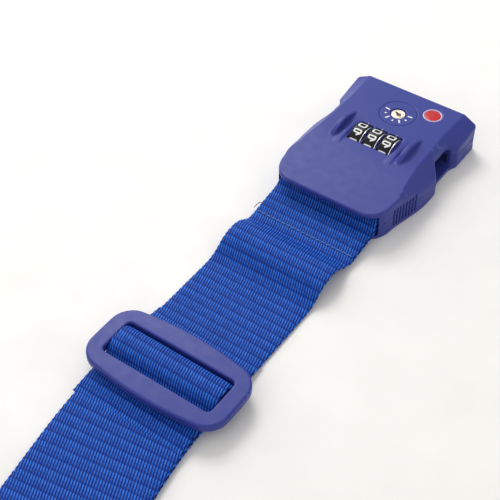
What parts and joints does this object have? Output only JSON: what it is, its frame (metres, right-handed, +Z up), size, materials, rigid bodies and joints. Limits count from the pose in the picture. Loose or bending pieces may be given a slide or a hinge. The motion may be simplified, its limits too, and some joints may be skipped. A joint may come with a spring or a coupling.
{
  "type": "luggage strap",
  "caption": "Woven luggage belt with a combination buckle, a slide adjuster and a plug; the spare webbing is folded into a banded hank.",
  "frame": {"origin": "centre of the lock's flat back, on the surface that the strap lies on", "axes": "+Y along the strap towards the lock's nose, +Z up out of the lock's face, +X across the strap"},
  "size_m": [0.0728, 0.462, 0.0246],
  "materials": {
    "shell": "satin moulded blue with fine grain",
    "webbing": "woven polyester, royal blue",
    "thread": "sewing thread, blue",
    "band": "elastic, dark blue",
    "dial": "black with white figures",
    "steel": "nickel plated",
    "brass": "turned",
    "cylinder": "pale nickel",
    "badge": "red enamel in a pale rim"
  },
  "bodies": {
    "strap": {"webbing_lock_end": "webbing", "lock_stitching": "thread", "webbing_run": "webbing", "webbing_return": "webbing", "webbing_hank": "webbing", "webbing_plug_end": "webbing", "plug_stitching": "thread", "hank_band": "band"},
    "lock": {"lower_cover": "shell", "upper_cover": "shell", "housing_screws": "steel", "webbing_pin": "steel", "dial_shaft": "steel", "detent_spring": "steel", "locking_plate_spring": "steel", "key_bezel": "shell", "reset_spring": "steel", "badge_inlay": "badge"},
    "dial_a": {"dial_1": "dial", "dial_sleeve_1": "brass"},
    "dial_b": {"dial_2": "dial", "dial_sleeve_2": "brass"},
    "dial_c": {"dial_3": "dial", "dial_sleeve_3": "brass"},
    "cylinder": {"key_cylinder": "cylinder", "cylinder_cam": "steel", "cylinder_clip": "steel"},
    "plate": {"locking_plate": "steel"},
    "reset": {"reset_button": "dial"},
    "adjuster": {"adjuster_frame": "shell", "webbing_arch": "webbing", "webbing_bar_loop": "webbing", "adjuster_stitching": "thread"},
    "plug": {"plug_body": "shell"},
    "arm_left": {"plug_arm_left": "shell"},
    "arm_right": {"plug_arm_right": "shell"}
  },
  "joints": [
    {"name": "lock_tilt", "type": "hinge", "parent": "strap", "child": "lock", "pos_m": [0, -0.0315, 0.0072], "axis": [1, 0, 0], "range_deg": [0, 20]},
    {"name": "dial_1_turn", "type": "hinge", "parent": "lock", "child": "dial_a", "pos_m": [-0.0074, 0.002, 0.0111], "axis": [1, 0, 0], "continuous": true},
    {"name": "dial_2_turn", "type": "hinge", "parent": "lock", "child": "dial_b", "pos_m": [0, 0.002, 0.0111], "axis": [1, 0, 0], "continuous": true},
    {"name": "dial_3_turn", "type": "hinge", "parent": "lock", "child": "dial_c", "pos_m": [0.0074, 0.002, 0.0111], "axis": [1, 0, 0], "continuous": true},
    {"name": "key_turn", "type": "hinge", "parent": "lock", "child": "cylinder", "pos_m": [0, 0.0228, 0.0132], "axis": [0, 0, -1], "range_deg": [0, 90]},
    {"name": "plate_slide", "type": "slide", "parent": "lock", "child": "plate", "axis": [0, -1, 0], "range_m": [0, 0.0036]},
    {"name": "reset_push", "type": "slide", "parent": "lock", "child": "reset", "axis": [0, 0, 1], "range_m": [0, 0.0015], "stiffness_N_per_m": 60, "springref_m": -0.001, "deforming": ["reset_spring"]},
    {"name": "adjuster_slide", "type": "slide", "parent": "strap", "child": "adjuster", "axis": [0, -1, 0], "range_m": [-0.006, 0.02]},
    {"name": "plug_tilt", "type": "hinge", "parent": "strap", "child": "plug", "pos_m": [0.009, -0.338, 0.0201], "axis": [-1, 0, 0], "range_deg": [0, 100]},
    {"name": "arm_left_flex", "type": "hinge", "parent": "plug", "child": "arm_left", "pos_m": [-0.011, -0.3565, 0.0201], "axis": [0, 0, 1], "range_deg": [0, 7], "stiffness_Nm_per_rad": 0.6},
    {"name": "arm_right_flex", "type": "hinge", "parent": "plug", "child": "arm_right", "pos_m": [0.029, -0.3565, 0.0201], "axis": [0, 0, -1], "range_deg": [0, 7], "stiffness_Nm_per_rad": 0.6}
  ],
  "couplings": [
    {"joint": "key_turn", "follows": "plate_slide", "rad_per_m": 436.33}
  ]
}
